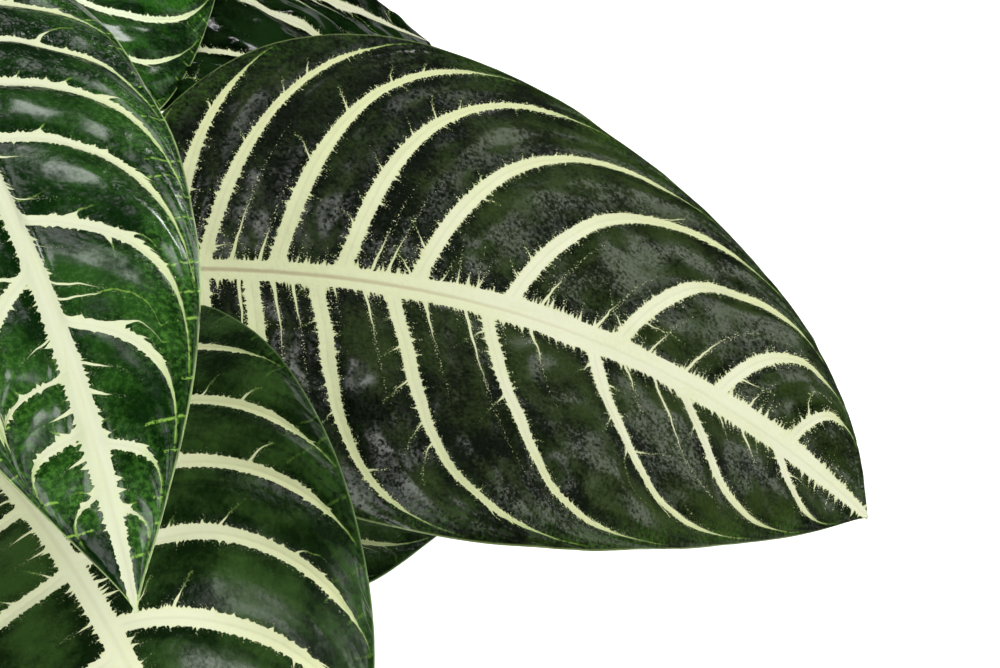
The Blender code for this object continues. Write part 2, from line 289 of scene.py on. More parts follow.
def centreline(leaf):
    # stations of (point, side, normal), as many as the CAD blade has
    steps = blade["steps"]
    reach = leaf["petiole"] + leaf["length"]
    first = radians(leaf["azimuth"][0])
    tilt = abs(sin(radians(leaf["elevation"][0])))
    clear = blade["nodeRadius"] + blade["gap"] + blade["petioleHalfHeight"] * tilt
    point = stemAxis(leaf["stem"], leaf["height"])
    point += Vector((cos(first), sin(first), 0.0)) * clear
    stations = []
    for i in range(steps + 1):
        t = i / steps
        azimuth = radians(through(leaf["azimuth"], t))
        elevation = radians(through(leaf["elevation"], t))
        roll = radians(through(leaf["roll"], t))
        heading = Vector((cos(elevation) * cos(azimuth),
                          cos(elevation) * sin(azimuth), sin(elevation)))
        level = Vector((-sin(azimuth), cos(azimuth), 0.0))
        upright = heading.cross(level)
        side = level * cos(roll) + upright * sin(roll)
        normal = upright * cos(roll) - level * sin(roll)
        if i:
            point = point + (heading + before) * (reach / steps / 2)
        before = heading
        stations.append((point.copy(), side, normal))
    return stations


def stationAt(stations, t):
    place = min(max(t, 0.0), 1.0) * (len(stations) - 1)
    i = min(int(place), len(stations) - 2)
    return [a.lerp(b, place - i) for a, b in zip(stations[i], stations[i + 1])]


def outline(leaf, s):
    # half width as a share of the widest, s from 0 at the blade's base to 1 at its tip
    if s <= 0.0 or s >= 1.0:
        return 0.0
    widest, toBase = leaf["widest"], leaf["blunt"]
    toTip = toBase * (1 - widest) / widest
    peak = widest ** toBase * (1 - widest) ** toTip
    waist = leaf.get("tipWaist", blade["tipWaist"])
    drawnIn = 1 - waist * exp(-(1 - s) / leaf.get("tipReach", blade["tipReach"]))
    return s ** toBase * (1 - s) ** toTip / peak * drawnIn


def alongAt(veins, hug, q, u):
    # how far along the blade row q has got at u, the share of the way out to the margin
    stops = [(0.0, 0.0)] + veins + [(1.0, 0.0)]
    i = min(int(q), len(stops) - 2)
    start = stops[i][0] + (stops[i + 1][0] - stops[i][0]) * (q - i)
    sweep = stops[i][1] + (stops[i + 1][1] - stops[i][1]) * (q - i)
    left = 1.0 - start
    if left <= 0.0:
        return 1.0
    advance = sweep * u / (1.0 - hug * u)
    return 1.0 - left * left / (advance + left)


def bladeShare(leaf, q, v):
    # (s, signed half-width share) of the crossing of row q and column v
    u = abs(v)
    sides = ((leaf["leftVeins"], leaf["leftHug"]), (leaf["rightVeins"], leaf["rightHug"]))
    own = alongAt(*sides[0 if v > 0 else 1], q, u)
    other = alongAt(*sides[1 if v > 0 else 0], q, u)
    share = 0.5 + 0.5 * smoothStep(0.0, blade["sideBlend"], u)
    return own * share + other * (1 - share)


def reliefAt(leaf, q, u, s, flat):
    # height of the blade's surface over its smooth form: panels between veins, puckers, midrib
    fullness = outline(leaf, s)
    inPanel = abs(sin(pi * q))
    pillow = leaf["quilt"] * (inPanel ** leaf["pillow"]) * 4 * u * (1 - u) * fullness
    across = abs(flat.y)
    seed = Vector((*[leaf["seed"] * step for step in blade["seedStep"]], 0.0))
    away = smoothStep(0.0, blade["clearRib"], across)
    away *= smoothStep(0.0, blade["clearEnds"], fullness)
    pucker = 0.0
    for size, height in leaf["pucker"]:
        pucker += noise.noise(Vector((flat.x, flat.y, 0.0)) / size + seed) * height
    pucker *= 1 - blade["marginLoss"] * smoothStep(blade["clearMargin"], 1.0, u)
    streakPlace = Vector((q * blade["streakAlong"], u * blade["streakAcross"], leaf["seed"]))
    streak = noise.noise(streakPlace + seed) * leaf["streak"]
    wave = sin(flat.x / leaf["waveLength"] + leaf["seed"]) * leaf["wave"] * u ** 4
    ribStart, ribEnd = blade["ribZone"]
    rib = leaf["rib"] * exp(-(across / leaf["ribReach"]) ** 2)
    rib *= smoothStep(0.0, ribStart, s) * (1 - smoothStep(ribEnd, 1.0, s))
    return pillow + (pucker + streak * inPanel + wave) * away + rib


def leafRows(leaf):
    # petiole rows as negative numbers, then vein rows, closer together beside each vein
    rows = [-1 + i / blade["petioleRows"] for i in range(blade["petioleRows"])]
    count = len(leaf["leftVeins"]) + 1
    for k in range(count):
        for i in range(leaf["rowsPerVein"]):
            t = i / leaf["rowsPerVein"]
            rows.append(k + t - blade["crowd"] * sin(2 * pi * t))
    return rows + [float(count)]


def leafColumns(leaf):
    # (v, face): over the top from right to left, then back under the blade
    n = leaf["columns"]
    top = [copysign((abs(i) / n) ** blade["columnPower"], i) for i in range(-n, n + 1)]
    return [(v, 1) for v in top] + [(v, -1) for v in reversed(top)]


def halfHeight(u, s):
    rounded = blade["petioleHalfHeight"] * sqrt(1 - blade["petioleEdge"] * u * u)
    return rounded + (blade["halfThickness"] - rounded) * smoothStep(0.0, blade["formEnd"], s)


def leafPiece(name, leaf, materials):
    stations = centreline(leaf)
    reach = leaf["petiole"] + leaf["length"]
    rows, columns = leafRows(leaf), leafColumns(leaf)
    lastRow, lastColumn = len(rows) - 1, len(columns) - 1
    bm = bmesh.new()
    for layer in ("veinMap", "bladeMap", "bandMap", "slantMap"):
        bm.verts.layers.float_vector.new(layer)
    veinMap, bladeMap, bandMap, slantMap = bm.verts.layers.float_vector.values()
    fold, camber = radians(leaf["fold"]), radians(leaf["camber"])

    def flatAt(q, v):
        # the crossing of row and column on the blade laid flat
        s = bladeShare(leaf, q, v)
        half = leaf["widths"][0 if v > 0 else 1]
        stalkLeft = 1 - smoothStep(0.0, blade["widthEnd"], s)
        narrowest = blade["petioleHalfWidth"] * stalkLeft + blade["tipHalfWidth"]
        return s, Vector((s * leaf["length"], v * max(half * outline(leaf, s), narrowest), 0.0))

    shares = {v for v, face in columns}
    cells = {(j, v): flatAt(max(q, 0.0), v) for j, q in enumerate(rows) for v in shares}
    for vert, column, row in wrapGrid(bm, len(columns), lastRow):
        v, face = columns[column]
        q = rows[row]
        u = abs(v)
        s, flat = cells[(row, v)]
        across = abs(flat.y)
        if q < 0:
            t = leaf["petiole"] * (1 + q) / reach
            relief = 0.0
        else:
            t = (leaf["petiole"] + s * leaf["length"]) / reach
            relief = reliefAt(leaf, q, u, s, flat)
        point, side, normal = stationAt(stations, t)
        lift = halfHeight(u, s) * face
        formed = smoothStep(0.0, blade["formEnd"], s)
        if face < 0:
            keel = blade["keel"] * formed * (1 - s)
            lift -= keel * exp(-(across / blade["keelWidth"]) ** 2)
        else:
            lift -= blade["groove"] * (1 - smoothStep(0.0, blade["grooveHalf"], u)) * (1 - formed)
        rise = fold - camber * u / 2
        vert.co = point + side * (flat.y * cos(rise))
        vert.co += normal * (across * sin(rise) + relief + lift)

        # what the shader reads: rows and distances in metres
        after, before = min(row + 1, lastRow), max(row - 1, 0)
        dq = max(rows[after], 0.0) - max(rows[before], 0.0)
        step = cells[(after, v)][1] - cells[(before, v)][1]
        outer = columns[min(column + 1, lastColumn)][0]
        inner = columns[max(column - 1, 0)][0]
        run = cells[(row, outer)][1] - cells[(row, inner)][1]
        gap = abs(step.x * run.y - step.y * run.x) / max(run.length, 1e-9) / max(dq, 1e-6)
        slant = run.x / max(abs(run.y), 1e-9) * copysign(1, run.y * v)
        root = cells[(row, 0.0)][1]
        margin = across / u * (1 - u) if u else leaf["widths"][0] * outline(leaf, s)
        vert[veinMap] = (q, min(gap, blade["mostGap"]), (flat - root).length)
        vert[bladeMap] = (flat.x if q >= 0 else q * leaf["petiole"], flat.y, margin)
        vert[bandMap] = (veinHalfWidth(leaf, q, u, v), ribHalfWidth(leaf, s), face)
        vert[slantMap] = (min(slant, blade["mostSlant"]), 0.0, 0.0)
    # top, underside and petiole
    for face in bm.faces:
        middle = sum(v[bandMap][2] for v in face.verts) / len(face.verts)
        face.material_index = 0 if middle > -0.5 else 1
        if max(v[veinMap][0] for v in face.verts) <= 0.001:
            face.material_index = 2
    closeTube(bm)
    return finishPiece(name + "_blade", bm, materials, [name], smoothAngle=80)


def veinHalfWidth(leaf, q, u, v):
    # half width of the cream band along a side vein, thin at the margin and on the last veins
    count = len(leaf["leftVeins"])
    number = min(max(round(q), 1), count)
    weights = leaf.get("leftWeights" if v > 0 else "rightWeights", {})
    size = leaf["veinHalf"] * weights.get(number, 1.0)
    size *= blade["firstBand"] + (1 - blade["firstBand"]) * smoothStep(0.5, 2.5, number)
    size *= 1 - blade["lastBandLoss"] * smoothStep(count - 1.5, count + 0.5, number)
    return size * (1 - leaf["veinTaper"] * smoothStep(blade["taperStart"], 1.0, u))


def ribHalfWidth(leaf, s):
    # half width of the cream band along the midrib
    stops = leaf["ribHalf"]
    place = min(max(s, 0.0), 1.0) * (len(stops) - 1)
    i = min(int(place), len(stops) - 2)
    return stops[i] + (stops[i + 1] - stops[i]) * (place - i)


# leaves: finish

# settings of the large leaf and, where they aren't changed, of the others; lengths in metres
leafLook = {
    # display colours
    "deep": (5, 13, 2), "mid": (42, 55, 21), "fresh": (52, 88, 26), "rim": (116, 134, 78),
    "cream": (214, 216, 188), "creamOut": (201, 207, 157), "creamEnd": (124, 164, 66),
    "channel": (166, 154, 122),
    # cream bands: where they fade before the margin, and the hairs, teeth and needles on them
    "endEdge": 0.0018, "fadeEdge": 0.0085, "hair": 0.00055,
    "tooth": 0.0013, "toothWidth": 0.00055, "toothSpacing": 0.0023,
    "ribHair": 0.0017, "ribNeedle": 0.0045,
    # spurs on the side veins, and the green line that runs on from each
    "spur": 0.0045, "spurWidth": 0.00040, "spurSpacing": 0.0090, "spurGap": 0.35,
    "spurShare": 0.45, "spurBack": 0.12, "spurSlant": 0.55, "rung": 0.25, "rungReach": 2.6,
    # thin veins between the side veins, specks, and green lines at the margin
    "minor": 0.024, "minorWidth": 0.00055, "minorRoom": 0.055, "speck": 0.85,
    "ladder": 0.0, "tail": 0.5,
    # the green, the groove in the midrib, painted shade beside the veins and near the stalk, painted
    # light towards the tip, and the shine
    "freshEdge": 0.014, "freshAmount": 0.8, "channelHalf": 0.0009, "channelAmount": 0.75,
    "mottle": 0.5, "shadeReach": 0.006, "paintedShadeDepth": 0.07, "tipLift": 0.035, "stalkTint": 0.6,
    "specular": 0.03, "rough": 0.34, "roughVein": 0.50, "coat": 0.55, "coatRough": 0.19,
    "stalkSheen": 0.05, "tipSheen": 0.0,
    # heights of the surface grain in millimetres
    "wrinkle": 0.40, "crumple": 0.75, "crumpleScale": 400, "leather": 0.10, "grain": 0.04,
    "stalkCrumple": 2.6,
}

# what all the leaves share; a pair is where a ramp starts and where it ends
leafPattern = {
    # noise scales per metre, and one per side vein
    "driftScale": 260, "hairAlong": 1700, "hairAcross": 500, "speckScale": 2300, "cloudScale": 60,
    "fineScale": 900, "grainScale": 2600, "leatherScale": 1250, "streakRows": 5.5,
    "streakAlong": 95, "patchScale": 26,
    # widths and distances in metres
    "drift": 0.0018, "bandEdge": 0.00006, "marginLoss": 0.0004, "marginZone": (0.0004, 0.0014),
    "calmZone": (0.008, 0.045), "ribTip": (0.0004, 0.0020), "spurMargin": (0.002, 0.007),
    "spurGrowth": (0.003, 0.014), "minorGap": (0.003, 0.016), "minorLeast": 0.001,
    "speckZone": 0.0020, "paintedShadeStart": 0.0003, "rungHalf": (0.00010, 0.00032),
    "leastSpur": 0.0003, "ladderHalf": (0.00012, 0.0004), "tailHalf": (0.0001, 0.00038),
    "tailMargin": (0.0006, 0.0016), "creamMargin": 0.0010, "besideRib": 0.002,
    "fringe": 0.0007, "veinLine": (0.0001, 0.0005), "lineStart": (-0.0005, 0.0015),
    "rimWidth": 0.0004, "leastLength": 0.0001, "seamCell": 0.01,
    # how far teeth, midrib, spurs and thin veins melt into the bands
    "meltTooth": 0.00012, "meltRib": 0.0012, "meltSpur": 0.0003, "meltMinor": 0.0002,
    # distances from the stalk in metres
    "tipZone": (0.05, 0.17), "paintedStalkShadeZone": (0.05, 0.12), "channelZone": (0.03, 0.15),
    "stalkShine": (0.05, 0.13), "tipShine": (0.10, 0.18), "stalkFolds": (0.07, 0.12),
    # teeth of the side veins: size as a share of the largest, share of places with a tooth
    "toothRows": ((1.0, 0.7), (0.45, 0.85)),
    # teeth of the midrib: spacing, reach as a share of hair or needle, half width, share
    "ribRows": ((0.00110, "ribHair", 1.0, 0.00038, 0.85), (0.0027, "ribHair", 1.7, 0.00065, 0.7),
                (0.0049, "ribNeedle", 1.0, 0.00036, 0.55)),
    # green lines at the margin: spacing, reach, half width, share
    "ladderRow": (0.0062, 0.009, 0.0003, 0.8),
    # places of the thin veins between two side veins, and how far they stray
    "minorPlaces": (0.32, 0.68), "minorStray": 0.1, "minorSway": 22.0,
}


def teethAlong(place, past, spacing, reach, width, share, seed):
    # pointed teeth: one in each stretch of a band's edge, each of its own height and place
    cell = place / spacing + seed * 0.37
    number = calc("FLOOR", cell)
    drawA, drawB, drawC = drawsAt(vectorOf(number, seed, spacing * 1000))
    spot = number + (0.25 + drawA * 0.5)
    off = calc("ABSOLUTE", cell - spot) * spacing
    height = reach * (0.2 + drawB * drawB * 0.9)
    height = height * calc("GREATER_THAN", share, drawC) + 0.00004
    return (1.0 - past / height) * width - off, off, height


def bladeMaterial(name, **changes):
    look = {**leafPattern, **leafLook, **changes}
    material, tree, shader = newMaterial(name)
    row, gap, out = attributeOf(tree, "veinMap")
    along, across, edge = attributeOf(tree, "bladeMap")
    veinWidth, ribHalf = attributeOf(tree, "bandMap")[:2]
    slant = attributeOf(tree, "slantMap")[0]

    def hue(key):
        return shade(*look[key])

    def merge(field, other, melt):
        return calc("SMOOTH_MAX", field, other, look[melt])

    side = calc("SIGN", across)
    fromRib = calc("ABSOLUTE", across)
    number = calc("FLOOR", row + 0.5)
    phase = row - number
    ahead = calc("GREATER_THAN", phase, 0.0)
    signedGap = phase * gap
    fromVein = calc("ABSOLUTE", signedGap)
    # one seed for each edge of each side vein
    seed = number * 3.17 + side * 17.3 + ahead * 5.9
    flatPlace = vectorOf(along, across, side * look["seamCell"])
    drift = (noiseAt(flatPlace, look["driftScale"], 1.0) - 0.5) * look["drift"]
    squareOut = out + signedGap * slant + drift

    # side veins: a band that fades out before the margin, with hairs and teeth on its edges
    fade = ramp(edge, look["endEdge"], look["fadeEdge"])
    veinHalf = veinWidth * fade - ramp(edge, *look["marginZone"], look["marginLoss"], 0.0)
    past = fromVein - veinHalf
    calm = ramp(fromRib, *look["calmZone"], 1.0, 0.5)
    hairPlace = vectorOf(squareOut * look["hairAlong"], fromVein * look["hairAcross"], seed)
    hair = (noiseAt(hairPlace, rough=0.6) - 0.5) * (look["hair"] * 3)
    hair = hair * calm * (0.35 + fade * 0.65)
    field = hair - past
    toothReach = look["tooth"] * fade * (calm * 1.2)
    for part, share in look["toothRows"]:
        tooth = teethAlong(squareOut, past, look["toothSpacing"] * part,
                           toothReach * (0.35 + 0.65 * part),
                           look["toothWidth"] * (0.4 + 0.6 * part), share, seed)[0]
        field = merge(field, tooth, "meltTooth")

    # the midrib: fine hairs and longer needles, square to it
    ribPast = fromRib - ribHalf
    ribLean = along - fromRib * 0.12 + drift * 0.5
    tipward = ramp(ribHalf, *look["ribTip"])
    ribField = hair * 0.6 - ribPast
    for i, (spacing, kind, part, width, share) in enumerate(look["ribRows"]):
        tooth = teethAlong(ribLean, ribPast, spacing, look[kind] * part * tipward, width, share,
                           side + 4.0 * i)[0]
        ribField = merge(ribField, tooth, "meltTooth")
    field = merge(field, ribField, "meltRib")

    # spurs on the side veins, mostly on the side towards the stalk, that lean outwards
    spurPlace = squareOut - fromVein * look["spurSlant"]
    spurShare = look["spurShare"] + ahead * (look["spurBack"] - look["spurShare"])
    spurShare = spurShare * ramp(edge, *look["spurMargin"])
    spurRoom = calc("MINIMUM", ramp(edge, *look["spurGrowth"], 0.2, 1.0) * look["spur"],
                    gap * look["spurGap"])
    spur, spurOff, spurReach = teethAlong(spurPlace, past, look["spurSpacing"], spurRoom,
                                          look["spurWidth"], spurShare, seed + 2.0)
    field = merge(field, spur, "meltSpur")

    # thin veins that leave the midrib between two side veins
    panel = calc("FLOOR", row)
    within = row - panel + drift * look["minorSway"]
    panelSeed = panel + side * 7.7
    for i, middle in enumerate(look["minorPlaces"]):
        strayed, drawn = drawsAt(vectorOf(panelSeed, 2.5 + i, 1.5))[:2]
        spot = middle - look["minorStray"] + strayed * (2 * look["minorStray"])
        beside = calc("ABSOLUTE", within - spot) * gap
        length = look["minorLeast"] + drawn * look["minor"]
        length = length * ramp(gap, *look["minorGap"], 0.1, 1.0)
        length = length * ramp(fromRib + edge, look["minorRoom"] * 0.55, look["minorRoom"])
        length = length + look["leastLength"]
        minor = (1.0 - (out - ribHalf) / length) * look["minorWidth"] - beside
        field = merge(field, minor, "meltMinor")

    # specks beside the bands
    speckNoise = noiseAt(flatPlace, look["speckScale"], 1.0, 0.6)
    speckLimit = ramp(field * -1.0, 0.0, look["speckZone"], 0.57, 0.84)
    speck = ramp(speckNoise - speckLimit, 0.0, 0.03) * look["speck"]
    cream = calc("MAXIMUM", ramp(field, -look["bandEdge"], look["bandEdge"]), speck * fade)

    # the green of the blade
    cloud = noiseAt(flatPlace, look["cloudScale"], 4.0, 0.62)
    fine = noiseAt(flatPlace, look["fineScale"], 3.0, 0.65)
    streakPlace = vectorOf(row * look["streakRows"], out * look["streakAlong"], panelSeed)
    streak = noiseAt(streakPlace, rough=0.45)
    grain = noiseAt(flatPlace, look["grainScale"])
    leather = noiseAt(flatPlace, look["leatherScale"], rough=0.6)
    mixed = cloud * (0.75 - look["mottle"] * 0.6) + streak * 0.25 + leather * (look["mottle"] * 0.6)
    # painted shade: darker and duller close to the veins, where the puffed panels slope away from the
    # light
    clearOf = ramp(calc("MINIMUM", past, ribPast), look["paintedShadeStart"], look["shadeReach"])
    mixed = mixed - (1.0 - clearOf) * look["paintedShadeDepth"]
    # painted light and shade: darker near the stalk, lighter towards the tip where more light falls
    mixed = mixed + ramp(along, *look["tipZone"], -look["tipLift"], look["tipLift"])
    green = blendColour(ramp(mixed, 0.38, 0.62), hue("deep"), hue("mid"))
    nearEdge = ramp(edge, 0.0, look["freshEdge"], 1.0, 0.0)
    fleck = ramp(fine, 0.40, 0.68) * ramp(cloud, 0.34, 0.66)
    freshShare = calc("MULTIPLY", (nearEdge * 0.8 + 0.2) * fleck, look["freshAmount"], clamp=True)
    green = blendColour(freshShare, green, hue("fresh"))

    # thin green lines: on from each spur, across to the margin, and where a side vein runs out
    dots = ramp(fine, 0.38, 0.56)
    rung = ramp(spurOff, *look["rungHalf"], 1.0, 0.0)
    rung = rung * ramp(past / (spurReach * look["rungReach"]), 0.3, 1.0, 1.0, 0.0)
    rung = rung * (0.35 + dots * 0.65) * look["rung"]
    rung = rung * calc("GREATER_THAN", spurReach, look["leastSpur"])
    ladderOff, ladderReach = teethAlong(along + drift, edge, *look["ladderRow"], side + 31.0)[1:]
    ladder = ramp(ladderOff, *look["ladderHalf"], 1.0, 0.0)
    ladder = ladder * calc("GREATER_THAN", ladderReach, edge) * look["ladder"]
    tail = ramp(fromVein, *look["tailHalf"], look["tail"], 0.0)
    tail = tail * ramp(edge, *look["tailMargin"]) * dots
    lines = calc("MAXIMUM", rung, calc("MAXIMUM", ladder * dots, tail))
    green = blendColour(lines, green, hue("creamEnd"))

    # cream that turns green towards the margin, with stains, greener edges, fine grooves and painted
    # shade near the stalk
    outward = ramp(out / (out + edge + look["leastLength"]), 0.35, 0.95)
    # painted shade: duller cream near the stalk, where the leaves above shade it
    young = ramp(along, *look["paintedStalkShadeZone"], look["stalkTint"], 0.0)
    ending = ramp(edge, look["creamMargin"], look["fadeEdge"], 0.9, 0.0)
    ending = ending * ramp(ribPast, 0.0, look["besideRib"])
    stain = ramp(fine * 0.5 + cloud * 0.5, 0.42, 0.66) * 0.45
    fringe = ramp(field, 0.0, look["fringe"], 0.75, 0.0)
    channel = ramp(fromRib + drift * 0.2, look["channelHalf"] * 0.2, look["channelHalf"], 1.0, 0.0)
    channel = channel * ramp(along, *look["channelZone"], look["channelAmount"], 0.12)
    veinLine = ramp(fromVein, *look["veinLine"], 0.12, 0.0) * fade
    groove = calc("MAXIMUM", channel, veinLine * ramp(ribPast, *look["lineStart"]))
    creamColour = hue("cream")
    for amount, key in ((outward, "creamOut"), (young, "creamOut"), (ending, "creamEnd"),
                        (stain, "creamOut"), (fringe, "creamOut"), (groove, "channel")):
        creamColour = blendColour(amount, creamColour, hue(key))
    colour = blendColour(cream, green, creamColour)
    colour = blendColour(ramp(edge, 0.0, look["rimWidth"], 0.7, 0.0), colour, hue("rim"))

    # shine in patches, none on the cream
    roughness = ramp(fine, 0.3, 0.7, look["rough"] - 0.06, look["rough"] + 0.08)
    roughness = roughness + cream * (look["roughVein"] - look["rough"])
    sheen = cloud * (1 - look["mottle"]) + leather * look["mottle"]
    sheen = sheen + ramp(along, *look["stalkShine"], look["stalkSheen"], 0.0)
    sheen = sheen + ramp(along, *look["tipShine"], 0.0, look["tipSheen"])
    sheen = ramp(sheen, 0.44, 0.58, look["coat"] * 0.04, look["coat"])
    sheen = sheen * ramp(leather, 0.36, 0.60, 1 - look["mottle"], 1.0) * (0.4 + clearOf * 0.6)
    plugAll(shader, {
        "Base Color": colour, "Roughness": roughness, "Specular IOR Level": look["specular"],
        "Coat Weight": sheen * (1.0 - cream), "Coat Roughness": look["coatRough"],
    })

    # soft folds along the veins, crumpled patches between them and a fine grain
    patch = ramp(noiseAt(flatPlace, look["patchScale"], 1.0), 0.36, 0.58, 0.25, 1.0)
    patch = calc("MAXIMUM", patch, ramp(along, *look["stalkFolds"], look["stalkCrumple"], 0.0))
    crumple = noiseAt(flatPlace, look["crumpleScale"]) * patch
    surface = streak * look["wrinkle"] + crumple * look["crumple"]
    surface = surface + leather * look["leather"] + grain * look["grain"]
    bumpFrom(surface * (1.0 - cream * 0.75), shader, 0.001)
    return material


def undersideMaterial():
    # paler and duller than the top, with the veins raised and light
    material, tree, shader = newMaterial("leaf_underside")
    row, gap = attributeOf(tree, "veinMap")[:2]
    along, across = attributeOf(tree, "bladeMap")[:2]
    fromVein = calc("ABSOLUTE", row - calc("FLOOR", row + 0.5)) * gap
    vein = ramp(fromVein, 0.0006, 0.0014, 1.0, 0.0)
    rib = ramp(calc("ABSOLUTE", across), 0.0012, 0.0030, 1.0, 0.0)
    lines = calc("MAXIMUM", vein, rib)
    place = vectorOf(along, across)
    green = blendColour(noiseAt(place, 220, 4.0), shade(66, 92, 58), shade(104, 128, 84))
    colour = blendColour(lines * 0.8, green, shade(176, 186, 132))
    plugAll(shader, {"Base Color": colour, "Roughness": 0.6})
    bumpFrom(noiseAt(place, 1100, 3.0) + lines, shader, 0.0004)
    return material


def stalkMaterial(name, young, old, oldTop):
    # green skin that turns brown and corky towards the soil, brown below oldTop
    material, tree, shader = newMaterial(name)
    where = whereIn(tree)
    x, y, z = partsOf(where)
    spots = noiseAt(where, 420, 4.0, 0.65)
    long = noiseAt(vectorOf(x * 900, y * 900, z * 60), detail=3.0)
    bark = ramp(z + spots * 0.03, oldTop - 0.03, oldTop + 0.03, 1.0, 0.0)
    skin = blendColour(ramp(spots, 0.4, 0.75), shade(*young), shade(128, 146, 84))
    cork = blendColour(ramp(long, 0.35, 0.65), shade(*old), shade(128, 104, 74))
    plugAll(shader, {"Base Color": blendColour(bark, skin, cork), "Roughness": 0.5})
    bumpFrom(long + spots * 0.5, shader, 0.0003)
    return material


def budMaterial():
    # young folded leaves: light green with a fine grain
    material, tree, shader = newMaterial("bud_skin")
    where = whereIn(tree)
    green = blendColour(ramp(noiseAt(where, 300, 3.0), 0.35, 0.65), shade(52, 104, 34),
                        shade(104, 150, 62))
    plugAll(shader, {"Base Color": green, "Roughness": 0.35, "Coat Weight": 0.3})
    bumpFrom(noiseAt(where, 900), shader, 0.0002)
    return material


def clayMaterial():
    # unglazed clay: turning lines, grit, a pale lime bloom and a damp foot
    material, tree, shader = newMaterial("clay")
    where = whereIn(tree)
    x, y, z = partsOf(where)
    cloud = noiseAt(where, 28, 5.0, 0.65)
    grit = noiseAt(where, 1400, 3.0, 0.6)
    turned = noiseAt(vectorOf(x * 6, y * 6, z * 620), detail=3.0)
    body = blendColour(ramp(cloud, 0.3, 0.7), shade(168, 92, 60), shade(190, 114, 78))
    body = blendColour(ramp(grit, 0.62, 0.75, 0.0, 0.5), body, shade(120, 66, 46))
    bloom = ramp(cloud, 0.50, 0.72) * ramp(z, 0.02, 0.12, 0.10, 0.55)
    body = blendColour(bloom, body, shade(214, 176, 150))
    damp = ramp(z + cloud * 0.03, 0.018, 0.045, 0.45, 0.0)
    body = blendColour(damp, body, shade(116, 66, 48))
    plugAll(shader, {"Base Color": body, "Roughness": 0.88})
    bumpFrom(turned * 0.6 + grit * 0.4, shader, 0.0005)
    return material


def earthMaterial(name, dark, light, scale, rough):
    material, tree, shader = newMaterial(name)
    where = whereIn(tree)
    crumbs = noiseAt(where, scale, 5.0, 0.7)
    fibres = noiseAt(where, scale * 4, 3.0, 0.6)
    colour = blendColour(ramp(crumbs, 0.35, 0.68), shade(*dark), shade(*light))
    plugAll(shader, {"Base Color": colour, "Roughness": rough})
    bumpFrom(crumbs + fibres * 0.5, shader, 0.0008)
    return material


# pot, soil and stems

pot = {
    "height": 0.132, "rimHeight": 0.028, "baseRadius": 0.050, "neckRadius": 0.067,
    "rimRadius": 0.074, "wall": 0.0055, "floor": 0.009, "steps": 96,
    "rounding": 0.0013, "roundingSteps": 4, "sharpAngle": 40,
    "holes": 3, "holeRadius": 0.005, "holeRing": 0.026, "holeTurn": 0.35, "holeSides": 24,
    "holeZone": 1.3,
}


def potInside(z):
    spread = pot["neckRadius"] - pot["baseRadius"]
    return pot["baseRadius"] + spread * z / (pot["height"] - pot["rimHeight"]) - pot["wall"]


def spunFrom(points, steps):
    bm = bmesh.new()
    verts = [bm.verts.new((r, 0, z)) for r, z in points]
    edges = [bm.edges.new(pair) for pair in zip(verts, verts[1:])]
    bmesh.ops.spin(bm, geom=verts + edges, cent=(0, 0, 0), axis=(0, 0, 1), angle=2 * pi,
                   steps=steps, use_merge=True, use_duplicate=False)
    bmesh.ops.remove_doubles(bm, verts=bm.verts, dist=0.00001)
    return bm


def potPiece():
    shoulder = pot["height"] - pot["rimHeight"]
    bm = spunFrom([
        (pot["baseRadius"], 0.0), (pot["neckRadius"], shoulder), (pot["rimRadius"], shoulder),
        (pot["rimRadius"], pot["height"]), (potInside(pot["height"]), pot["height"]),
        (potInside(pot["floor"]), pot["floor"]),
    ], pot["steps"])
    ends = [e for e in bm.edges if e.is_boundary]
    loops = {0.0: [e for e in ends if e.verts[0].co.z < pot["floor"] / 2],
             pot["floor"]: [e for e in ends if e.verts[0].co.z > pot["floor"] / 2]}
    for i in range(pot["holes"]):
        angle = pot["holeTurn"] + 2 * pi * i / pot["holes"]
        rings = []
        for z in loops:
            place = Matrix.Translation((pot["holeRing"] * cos(angle),
                                        pot["holeRing"] * sin(angle), z))
            made = bmesh.ops.create_circle(bm, cap_ends=False, radius=pot["holeRadius"],
                                           segments=pot["holeSides"], matrix=place)
            ring = list({e for v in made["verts"] for e in v.link_edges})
            loops[z] += ring
            rings += ring
        bmesh.ops.bridge_loops(bm, edges=rings)
    for loop in loops.values():
        bmesh.ops.triangle_fill(bm, use_beauty=True, use_dissolve=False, edges=loop)
    bmesh.ops.recalc_face_normals(bm, faces=bm.faces)
    # every sharp edge is rounded but those of the drain holes
    least = radians(pot["sharpAngle"])
    sharp = [e for e in bm.edges if e.is_manifold and e.calc_face_angle() > least]
    holeZone = pot["holeRing"] * pot["holeZone"]
    sharp = [e for e in sharp if e.verts[0].co.to_2d().length > holeZone]
    bmesh.ops.bevel(bm, geom=sharp, offset=pot["rounding"], segments=pot["roundingSteps"],
                    profile=0.5, affect="EDGES", material=-1, clamp_overlap=True)
    return finishPiece("pot_body", bm, [clayMaterial()], ["clay_pot"],
                       smoothAngle=35)


soil = {
    "level": 0.116, "edgeDrop": 0.004, "dome": 0.003, "clear": 0.0003, "rings": 26, "steps": 110,
    # lumps: size, height; shares of the radius where the surface starts to drop and lumps to fade
    "lumps": [(0.012, 0.0016), (0.004, 0.0009)], "dropStart": 0.9, "lumpFade": 0.93, "topSkin": 0.001,
    # loose grains: name: count, size range
    "grains": {"perlite": (150, (0.0007, 0.0019)), "bark": (330, (0.0010, 0.0032))},
    "seed": 7, "grainRoom": 0.004, "stemRoom": 0.0062, "raised": 0.15,
    "fullTurn": 6.28, "flatter": ((0.45, 0.8), (0.4, 0.9)), "rougher": (-0.3, 0.25),
}


def soilHeight(radius):
    share = radius / (potInside(soil["level"] - soil["edgeDrop"]) - soil["clear"])
    domed = soil["level"] + soil["dome"] * (1 - share ** 2)
    return domed - soil["edgeDrop"] * smoothStep(soil["dropStart"], 1.0, share)


